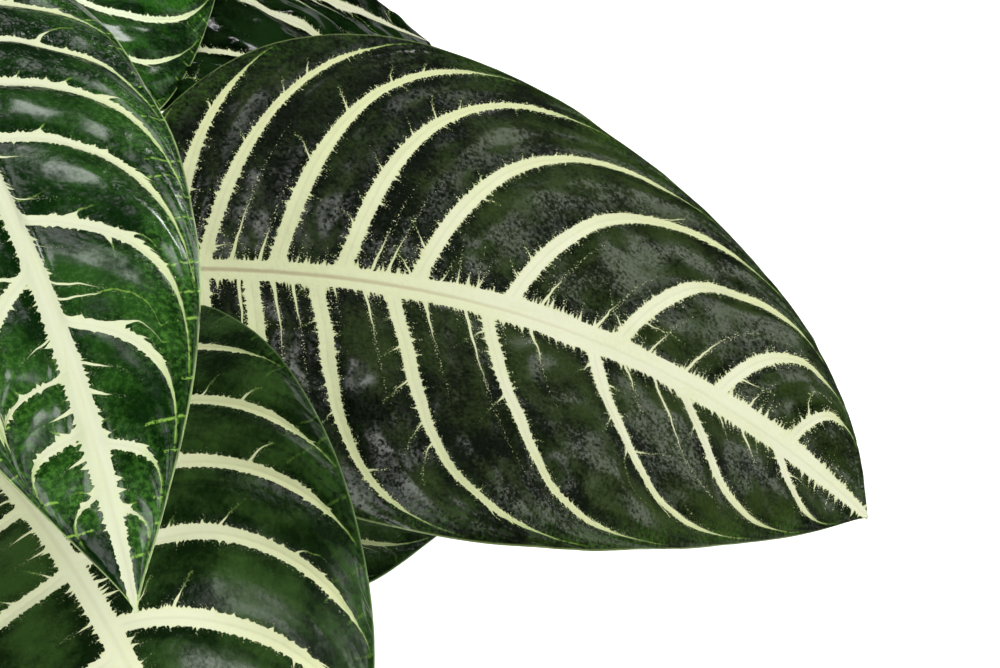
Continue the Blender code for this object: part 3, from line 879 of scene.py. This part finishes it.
def soilPiece(material):
    bottom = pot["floor"] + soil["clear"]
    top = soil["level"] - soil["edgeDrop"]
    rim = potInside(top) - soil["clear"]
    profile = [(0.0, bottom), (potInside(bottom) - soil["clear"], bottom)]
    profile += [(rim * (1 - i / soil["rings"]), soilHeight(rim * (1 - i / soil["rings"])))
                for i in range(soil["rings"] + 1)]
    bm = spunFrom(profile, soil["steps"])
    bmesh.ops.recalc_face_normals(bm, faces=bm.faces)
    for vert in bm.verts:
        radius = vert.co.to_2d().length
        if vert.co.z > top - soil["topSkin"]:
            calm = 1 - smoothStep(soil["lumpFade"], 1.0, radius / rim)
            for size, height in soil["lumps"]:
                vert.co.z += noise.noise(vert.co / size) * height * calm
    return finishPiece("soil_body", bm, [material], ["potting_soil"], smoothAngle=60)


def grainsPiece(materials):
    # perlite and bark crumbs, half sunk in the soil
    draw = random.Random(soil["seed"])
    bm = bmesh.new()
    rim = potInside(soil["level"]) - soil["grainRoom"]
    lump, lumpHeight = soil["lumps"][0]
    for index, (count, sizes) in enumerate(soil["grains"].values()):
        for i in range(count):
            radius = rim * sqrt(draw.random())
            angle = draw.uniform(0, 2 * pi)
            size = draw.uniform(*sizes)
            spot = Vector((radius * cos(angle), radius * sin(angle), soilHeight(radius)))
            fromStem = min((spot - stemAxis(name, spot.z)).length for name in stems["foot"])
            if fromStem < soil["stemRoom"] + size:
                continue
            spot.z += noise.noise(spot / lump) * lumpHeight + size * soil["raised"]
            turn = Euler([draw.uniform(0, soil["fullTurn"]) for k in range(3)])
            flatter = [draw.uniform(*span) for span in soil["flatter"]]
            place = Matrix.Translation(spot) @ turn.to_matrix().to_4x4()
            made = bmesh.ops.create_icosphere(bm, subdivisions=1, radius=size,
                                              matrix=place @ Matrix.Diagonal((1.0, *flatter, 1.0)))
            for vert in made["verts"]:
                vert.co += (vert.co - spot) * draw.uniform(*soil["rougher"])
            for face in {f for v in made["verts"] for f in v.link_faces}:
                face.material_index = index
    return finishPiece("soil_grains", bm, materials, [], smoothAngle=20)


bud = {
    "length": 0.026, "width": 0.0042, "thickness": 0.0009, "endThickness": 0.15, "cup": 0.125,
    "sink": 0.004, "standOff": 0.0008, "turn": 0.6, "tilt": 16, "rows": 30, "sides": 28,
    # (share of the length, share of the width)
    "widths": ((0.0, 0.55), (0.3, 1.0), (0.6, 0.85), (0.85, 0.4), (1.0, 0.12)),
}


def budWidth(share):
    for (a, wideA), (b, wideB) in zip(bud["widths"], bud["widths"][1:]):
        if share <= b:
            return wideA + (wideB - wideA) * smoothStep(a, b, share)
    return bud["widths"][-1][1]


def stemPiece(name, materials):
    bm = bmesh.new()
    nodes = stems["nodes"][name]
    bottom = stems["soilLevel"] - stems["depth"]
    top = stems["top"][name]
    rows = round((top - bottom) / stems["step"])
    for vert, column, row in wrapGrid(bm, stems["sides"], rows):
        z = bottom + (top - bottom) * row / rows
        angle = 2 * pi * column / stems["sides"]
        thinned = smoothStep(max(nodes), top, z)
        radius = stems["radius"] + (stems["tipRadius"] - stems["radius"]) * thinned
        for height in nodes:
            swell = exp(-((z - height) / stems["swell"]) ** 2)
            radius += (stems["nodeRadius"] - stems["radius"]) * swell
            scar = exp(-((z - height + stems["scarDrop"]) / stems["scarHalf"]) ** 2)
            radius -= stems["scarDepth"] * scar
        ridge = stems["ridgeDepth"] * cos(stems["ridges"] * angle)
        radius -= ridge * smoothStep(*stems["ridgeStart"], z - stems["soilLevel"])
        out = Vector((cos(angle), sin(angle), 0.0))
        grainPlace = Vector((out.x * stems["grainAcross"], out.y * stems["grainAcross"],
                             z * stems["grainUp"]))
        radius += noise.noise(grainPlace) * stems["grainDepth"]
        vert.co = stemAxis(name, z) + out * radius
    stemFaces = set(bm.faces)
    tilt = radians(bud["tilt"])
    for k in range(2):
        turn = bud["turn"] + pi * k
        base = stemAxis(name, top - bud["sink"])
        out = Vector((cos(turn), sin(turn), 0.0))
        heading = out * sin(tilt) + Vector((0, 0, cos(tilt)))
        side = Vector((0, 0, 1)).cross(out)
        normal = side.cross(heading)
        for vert, column, row in wrapGrid(bm, bud["sides"], bud["rows"]):
            share = row / bud["rows"]
            angle = 2 * pi * column / bud["sides"]
            half = bud["width"] * budWidth(share)
            thick = bud["thickness"] * (1 + bud["endThickness"] - share)
            cup = bud["cup"] * half * cos(angle) ** 2 * sin(pi * share)
            vert.co = base + out * bud["standOff"] + heading * (bud["length"] * share)
            vert.co += side * (half * cos(angle))
            vert.co += normal * (thick * sin(angle) - cup)
    for face in bm.faces:
        face.material_index = 0 if face in stemFaces else 1
    closeTube(bm)
    return finishPiece(name + "_stem_body", bm, materials, [name + "_stem"],
                       smoothAngle=60)


potPiece()
print("pot done")
earth = earthMaterial("damp_peat", (26, 18, 13), (72, 52, 38), scale=260, rough=0.95)
perlite = earthMaterial("perlite", (196, 192, 182), (236, 234, 226), scale=700, rough=0.85)
bark = earthMaterial("bark_crumbs", (48, 30, 19), (104, 72, 46), scale=500, rough=0.9)
soilPiece(earth)
grainsPiece([perlite, bark])
print("soil done")
stemSkin = stalkMaterial("stem_skin", (84, 108, 50), (94, 70, 48), oldTop=0.158)
budSkin = budMaterial()
for name in stems["nodes"]:
    stemPiece(name, [stemSkin, budSkin])
    print("stem done:", name)

underside = undersideMaterial()
petioleSkin = stalkMaterial("petiole_skin", (88, 112, 52), (88, 112, 52), oldTop=-1.0)

# the large right-hand leaf
rightLeaf = {
    "stem": "main", "height": 0.2795, "azimuth": (-5, 12, -17), "elevation": (12, -22, -42),
    "roll": (53, 26, 17), "petiole": 0.042, "length": 0.2285, "widths": (0.0775, 0.0705),
    "leftVeins": [(0.045, 0.008), (0.088, 0.020), (0.121, 0.050), (0.200, 0.068), (0.275, 0.088),
                  (0.358, 0.132), (0.470, 0.155), (0.613, 0.142), (0.754, 0.093), (0.863, 0.041)],
    "leftWeights": {3: 0.8},
    "rightVeins": [(0.040, 0.0), (0.080, 0.0), (0.120, 0.0), (0.174, 0.006), (0.246, 0.014),
                   (0.333, 0.028), (0.445, 0.037), (0.581, 0.061), (0.706, 0.080), (0.847, 0.070)],
    "leftHug": 0.86, "rightHug": 0.94, "rowsPerVein": 20, "columns": 38,
    "quilt": 0.0012, "pucker": [(0.022, 0.0016), (0.009, 0.0009)], "streak": 0.0004, "seed": 1,
    "wave": 0.0002, "tipWaist": 0.60, "tipReach": 0.020,
    "veinHalf": 0.00185, "veinTaper": 0.66, "rib": 0.0,
    "ribHalf": (0.0022, 0.0025, 0.0030, 0.0036, 0.0042, 0.0044, 0.0043, 0.0041, 0.0012),
}
# the green leaf nearest the camera
frontLeaf = {
    "stem": "main", "height": 0.381, "azimuth": (-66, -62, -73), "elevation": (19, -9, -35),
    "roll": (16, -12, 22), "petiole": 0.024, "length": 0.2105, "widths": (0.043, 0.0435),
    "widest": 0.38, "fold": 8,
    "leftVeins": [(0.06, 0.0), (0.13, 0.003), (0.20, 0.005), (0.269, 0.008), (0.342, 0.015),
                  (0.410, 0.026), (0.494, 0.041), (0.606, 0.042), (0.725, 0.042), (0.849, 0.020),
                  (0.909, 0.016)],
    "rightVeins": [(0.05, 0.0), (0.11, 0.01), (0.18, 0.02), (0.25, 0.03), (0.32, 0.04),
                   (0.40, 0.05), (0.50, 0.08), (0.667, 0.11), (0.78, 0.02), (0.835, 0.013),
                   (0.893, 0.013)],
    "rightWeights": {9: 0.3, 10: 0.75, 11: 0.5}, "leftWeights": {10: 0.75, 11: 0.5},
    "leftHug": 0.94, "rightHug": 0.94, "rowsPerVein": 18, "columns": 30,
    "quilt": 0.0022, "pucker": [(0.016, 0.0010), (0.007, 0.0004)], "streak": 0.0002, "seed": 2,
    "veinHalf": 0.00125, "veinTaper": 0.50, "rib": 0.0024, "ribReach": 0.0022,
    "ribHalf": (0.0014, 0.0015, 0.0016, 0.0016, 0.0017, 0.0018, 0.0020, 0.0021, 0.0006),
}
# the leaf below it
lowFrontLeaf = {
    "stem": "main", "height": 0.249, "azimuth": (-74, -62, -62), "elevation": (25, 10, -61),
    "roll": (5, 24, 17), "petiole": 0.035, "length": 0.1955, "widths": (0.0605, 0.0615),
    "widest": 0.49, "blunt": 0.56, "fold": 11, "camber": 14,
    "leftVeins": [(0.06, 0.04), (0.167, 0.15), (0.334, 0.142), (0.462, 0.124), (0.555, 0.139),
                  (0.656, 0.151), (0.77, 0.10), (0.87, 0.05)],
    "rightVeins": [(0.06, 0.01), (0.167, 0.03), (0.31, 0.04), (0.43, 0.045), (0.562, 0.045),
                   (0.69, 0.05), (0.79, 0.04), (0.88, 0.02)],
    "leftHug": 0.78, "rightHug": 0.92, "rowsPerVein": 20, "columns": 30,
    "quilt": 0.0019, "pucker": [(0.018, 0.0012)], "streak": 0.0003, "seed": 3,
    "veinHalf": 0.00170, "veinTaper": 0.5, "rib": 0.0004,
    "ribHalf": (0.0018, 0.0019, 0.0020, 0.0021, 0.0022, 0.0024, 0.0024, 0.0018, 0.0003),
}
# the small bright leaf at the top
topLeaf = {
    "stem": "main", "height": 0.3325, "azimuth": (76, 63, 41), "elevation": (-14, -9, 12),
    "roll": (9, 28, 18), "petiole": 0.018, "length": 0.1495, "widths": (0.045, 0.0455),
    "widest": 0.41, "blunt": 0.64, "fold": 6, "camber": 17,
    "leftVeins": [(0.08, 0.05), (0.20, 0.09), (0.36, 0.12), (0.51, 0.14), (0.65, 0.12),
                  (0.78, 0.09), (0.88, 0.04)],
    "rightVeins": [(0.09, 0.05), (0.221, 0.09), (0.39, 0.12), (0.532, 0.15), (0.66, 0.12),
                   (0.78, 0.09), (0.88, 0.04)],
    "leftHug": 0.85, "rightHug": 0.85, "rowsPerVein": 18, "columns": 24,
    "quilt": 0.0013, "pucker": [(0.010, 0.0009)], "streak": 0.0002, "seed": 4,
    "veinHalf": 0.00115, "veinTaper": 0.5, "rib": 0.0,
    "ribHalf": (0.0016, 0.0017, 0.0018, 0.0019, 0.0020, 0.0019, 0.0016, 0.0003),
}
# the dark puckered leaf behind the large one; its material's greens are darker still, as painted
# shade
rearLeaf = {
    "stem": "rear", "height": 0.271, "azimuth": (67, 61, 50), "elevation": (49, -21, -34),
    "roll": (-4, 34, 16), "petiole": 0.026, "length": 0.200, "widths": (0.047, 0.0475),
    "widest": 0.46, "rowsPerVein": 24, "columns": 30,
    "leftVeins": [(0.10, 0.06), (0.22, 0.10), (0.38, 0.12), (0.56, 0.11), (0.74, 0.08),
                  (0.90, 0.03)],
    "rightVeins": [(0.07, 0.05), (0.15, 0.12), (0.37, 0.26), (0.56, 0.19), (0.74, 0.11),
                   (0.90, 0.03)],
    # a weight below 0 leaves a vein without its cream band
    "leftWeights": {4: -1.0, 5: -1.0, 6: -1.0},
    "rightWeights": {1: -1.0, 2: 0.7, 4: -1.0, 5: -1.0, 6: -1.0},
    "leftHug": 0.85, "rightHug": 0.85,
    "quilt": 0.0022, "pucker": [(0.016, 0.0022), (0.007, 0.0008)], "streak": 0.0004, "seed": 5,
    "veinHalf": 0.0018, "veinTaper": 0.6, "rib": 0.0,
    "ribHalf": (0.0018, 0.0020, 0.0022, 0.0024, 0.0026, 0.0024, 0.0016, 0.0003),
}
# the low leaf under the large one
lowRightLeaf = {
    "stem": "main", "height": 0.169, "azimuth": (21, 25, 19), "elevation": (25, 8, -39),
    "roll": (6, 14, 16), "petiole": 0.025, "length": 0.120, "widths": (0.0405, 0.041),
    "blunt": 0.64, "fold": 8, "camber": 16, "rowsPerVein": 18, "columns": 24,
    "leftVeins": [(0.08, 0.04), (0.20, 0.08), (0.36, 0.12), (0.54, 0.12), (0.72, 0.09),
                  (0.87, 0.04)],
    "rightVeins": [(0.08, 0.04), (0.21, 0.09), (0.383, 0.142), (0.56, 0.13), (0.74, 0.09),
                   (0.88, 0.04)],
    "leftHug": 0.86, "rightHug": 0.88,
    "quilt": 0.0010, "pucker": [(0.012, 0.0006)], "streak": 0.0002, "seed": 6,
    "veinHalf": 0.00105, "veinTaper": 0.6, "rib": 0.0,
    "ribHalf": (0.0015, 0.0016, 0.0018, 0.0019, 0.0019, 0.0015, 0.0003),
}

# leaves that only the other sides show, by these keys
formKeys = ("stem", "height", "azimuth", "elevation", "roll", "petiole", "length", "widths")
otherLeaves = {
    "main_leaf_1_right": ("main", 0.404, (22, 20, 24), (58, 42, 20), (0, 4, 0),
                          0.014, 0.092, (0.0215, 0.0215)),
    "main_leaf_1_left": ("main", 0.404, (202, 204, 208), (56, 44, 24), (0, -4, 0),
                         0.014, 0.086, (0.0205, 0.0205)),
    "main_leaf_2_back": ("main", 0.381, (118, 122, 126), (32, 12, -30), (0, 8, 4),
                         0.024, 0.185, (0.044, 0.044)),
    "main_leaf_3_front": ("main", 0.3325, (236, 232, 226), (20, -8, -40), (4, 4, 0),
                          0.028, 0.172, (0.046, 0.045)),
    "main_leaf_4_left": ("main", 0.2795, (176, 172, 176), (16, -6, -44), (-6, -10, -4),
                         0.036, 0.205, (0.060, 0.062)),
    "main_leaf_5_back": ("main", 0.249, (112, 124, 128), (10, -12, -48), (0, -8, 0),
                         0.034, 0.188, (0.056, 0.055)),
    "main_leaf_6_left": ("main", 0.175, (205, 212, 214), (26, 4, -34), (0, -6, 0),
                         0.026, 0.128, (0.040, 0.040)),
    "rear_leaf_1_left": ("rear", 0.262, (152, 150, 146), (24, -4, -40), (0, 0, 0),
                         0.026, 0.150, (0.043, 0.043)),
    "rear_leaf_2_right": ("rear", 0.215, (92, 84, 80), (14, -10, -42), (0, 4, 0),
                          0.028, 0.168, (0.050, 0.050)),
}
# what a leaf has where its own settings don't say otherwise
usualForm = {
    "widest": 0.43, "blunt": 0.62, "fold": 9, "camber": 15, "leftVeins": commonVeins(0.0),
    "rightVeins": commonVeins(-0.02), "leftHug": 0.86, "rightHug": 0.86, "rowsPerVein": 8,
    "columns": 16, "quilt": 0.0011, "pillow": 0.8, "pucker": [(0.014, 0.0007)], "streak": 0.0002,
    "wave": 0.0005, "waveLength": 0.006, "rib": 0.0, "ribReach": 0.0016,
    "veinHalf": 0.0013, "veinTaper": 0.62,
    "ribHalf": (0.0018, 0.0019, 0.0022, 0.0025, 0.0026, 0.0024, 0.0016, 0.0003),
}

darkBlade = bladeMaterial("blade_dark", tipSheen=0.035)
greenBlade = bladeMaterial(
    "blade_green", deep=(3, 29, 1), mid=(27, 64, 13), fresh=(64, 116, 32), rim=(176, 200, 130),
    cream=(199, 204, 176), creamOut=(196, 205, 158), endEdge=0.0010, hair=0.00025, tooth=0.0009,
    ribHair=0.0009, ribNeedle=0.0016, spur=0.0065, spurGap=0.26, spurWidth=0.00080,
    spurSpacing=0.0095, spurShare=0.95, spurSlant=0.75, rung=0.75, minor=0.009,
    minorRoom=0.020, speck=0.15, ladder=0.9, tail=0.8, freshEdge=0.03, channelAmount=0.0,
    mottle=0.12, shadeReach=0.004, tipLift=0.0, stalkTint=0.0, specular=0.12, rough=0.24,
    coat=0.68, coatRough=0.13, wrinkle=0.12, crumple=0.45, crumpleScale=300, leather=0.02,
    grain=0.01)
lowBlade = bladeMaterial(
    "blade_low", deep=(8, 26, 4), mid=(47, 73, 30), fresh=(46, 86, 26), rim=(110, 140, 80),
    cream=(220, 223, 192), creamOut=(215, 220, 170), hair=0.00032, tooth=0.0009, ribHair=0.0011,
    ribNeedle=0.0024, spurShare=0.5, rung=0.5, minor=0.006, minorRoom=0.020, speck=0.25,
    ladder=0.2, channelAmount=0.2, mottle=0.25, tipLift=0.0, specular=0.1, rough=0.30,
    coat=0.42, coatRough=0.17, wrinkle=0.15, crumple=0.40, leather=0.03, grain=0.02)
topBlade = bladeMaterial(
    "blade_top", deep=(2, 26, 1), mid=(31, 80, 15), fresh=(66, 122, 32), rim=(176, 204, 126),
    cream=(236, 243, 214), creamOut=(225, 237, 188), hair=0.00022, tooth=0.0008,
    ribHair=0.0006, ribNeedle=0.001, spur=0.0035, spurShare=0.5, rung=0.5, minor=0.004,
    minorRoom=0.020, speck=0.2, ladder=0.7, freshEdge=0.03, channelAmount=0.0, mottle=0.12,
    tipLift=0.0, stalkTint=0.0, rough=0.28, coat=0.38, coatRough=0.14, wrinkle=0.12,
    crumple=1.2, crumpleScale=260, leather=0.02, grain=0.01)
# painted shade: darker greens than the large leaf's, for the leaf in shade behind it
rearBlade = bladeMaterial(
    "blade_rear", deep=(2, 8, 1), mid=(18, 40, 12), fresh=(28, 60, 18), ribHair=0.0010,
    ribNeedle=0.002, mottle=0.25, tipLift=0.0, stalkTint=0.0, specular=0.0, rough=0.30,
    coat=0.32, coatRough=0.09, wrinkle=0.15, crumple=0.8, crumpleScale=220, leather=0.03,
    grain=0.02)

leafPieces = {
    "main_leaf_4_right": (rightLeaf, darkBlade),
    "main_leaf_2_front": (frontLeaf, greenBlade),
    "main_leaf_5_front": (lowFrontLeaf, lowBlade),
    "main_leaf_3_back": (topLeaf, topBlade),
    "rear_leaf_1_right": (rearLeaf, rearBlade),
    "main_leaf_6_right": (lowRightLeaf, lowBlade),
}
for number, (name, values) in enumerate(otherLeaves.items()):
    young = name.startswith(("main_leaf_1", "main_leaf_2"))
    leaf = dict(zip(formKeys, values), seed=10 + number)
    leafPieces[name] = (leaf, greenBlade if young else darkBlade)
for name, (leaf, finish) in leafPieces.items():
    piece = leafPiece(name, {**usualForm, **leaf}, [finish, underside, petioleSkin])
    low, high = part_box(name)
    corners = [Vector(c) for c in piece.bound_box]
    over = max(max(c[k] - high[k] for c in corners) for k in range(3))
    under = max(max(low[k] - c[k] for c in corners) for k in range(3))
    print("leaf", name, len(piece.data.vertices), "past the CAD box by mm",
          round(max(over, under) * 1000, 2))

# stage

studio = {
    "floorSize": 30.0, "floorColour": (0.93, 0.93, 0.93, 1.0), "floorRough": 0.9,
    "glowColour": (1.0, 1.0, 1.0, 1.0), "floorGlow": 0.6,
    "horizon": (0.10, 0.10, 0.10, 1.0), "zenith": (0.32, 0.32, 0.32, 1.0),
    "skyBlend": (0.1, 0.9), "worldStrength": 0.35,
    # name: place, size, power in watts
    "softboxes": {
        "left": ((-0.75, -1.00, 1.65), (0.80, 0.80), 17.5),
        "high": ((0.62, -1.05, 1.62), (0.60, 0.60), 8.5),
        "side": ((1.18, -0.18, 1.43), (0.45, 0.45), 3.6),
        "front": ((0.30, -1.70, 0.90), (0.80, 0.80), 6),
        "top": ((0.45, -0.35, 1.70), (0.35, 0.35), 3.6),
        "over": ((0.10, 0.75, 1.50), (0.50, 0.50), 4.8),
        "right": ((1.60, 0.65, 1.13), (0.80, 0.80), 6.8),
        "back": ((0.75, 1.25, 1.10), (0.18, 0.18), 2.5),
    },
    "aim": (0.08, 0.0, 0.28),
    "lens": 100, "sensor": 36, "cameraPlace": (0.135, -0.5757, 0.6533), "cameraDown": 34,
}
bm = bmesh.new()
bmesh.ops.create_grid(bm, x_segments=1, y_segments=1, size=studio["floorSize"] / 2)
floorMesh = bpy.data.meshes.new("floor")
bm.to_mesh(floorMesh)
bm.free()
floor = addObject("floor", floorMesh)
floorMaterial, _, floorShader = newMaterial("floor_white")
plugAll(floorShader, {
    "Base Color": studio["floorColour"], "Roughness": studio["floorRough"],
    "Emission Color": studio["glowColour"], "Emission Strength": studio["floorGlow"],
})
floorMesh.materials.append(floorMaterial)

world = bpy.data.worlds.new("studio_air")
bpy.context.scene.world = world
world.use_nodes = True
air = world.node_tree
heightUp = partsOf(whereIn(air, "Generated"))[2]
airColour = blendColour(ramp(heightUp, *studio["skyBlend"]), studio["horizon"], studio["zenith"])
plugAll(air.nodes["Background"], {"Color": airColour, "Strength": studio["worldStrength"]})

for name, (place, size, power) in studio["softboxes"].items():
    data = bpy.data.lights.new(name, "AREA")
    data.shape = "RECTANGLE"
    data.size, data.size_y = size
    data.energy = power
    lamp = addObject(name, data)
    lamp.location = place
    towards = Vector(studio["aim"]) - Vector(place)
    lamp.rotation_euler = towards.to_track_quat("-Z", "Y").to_euler()

cameraData = bpy.data.cameras.new("camera")
cameraData.lens = studio["lens"]
cameraData.sensor_width = studio["sensor"]
camera = addObject("camera", cameraData)
camera.location = studio["cameraPlace"]
camera.rotation_euler = (radians(90 - studio["cameraDown"]), 0, 0)
bpy.context.scene.camera = camera
bpy.context.scene.view_settings.view_transform = "Standard"
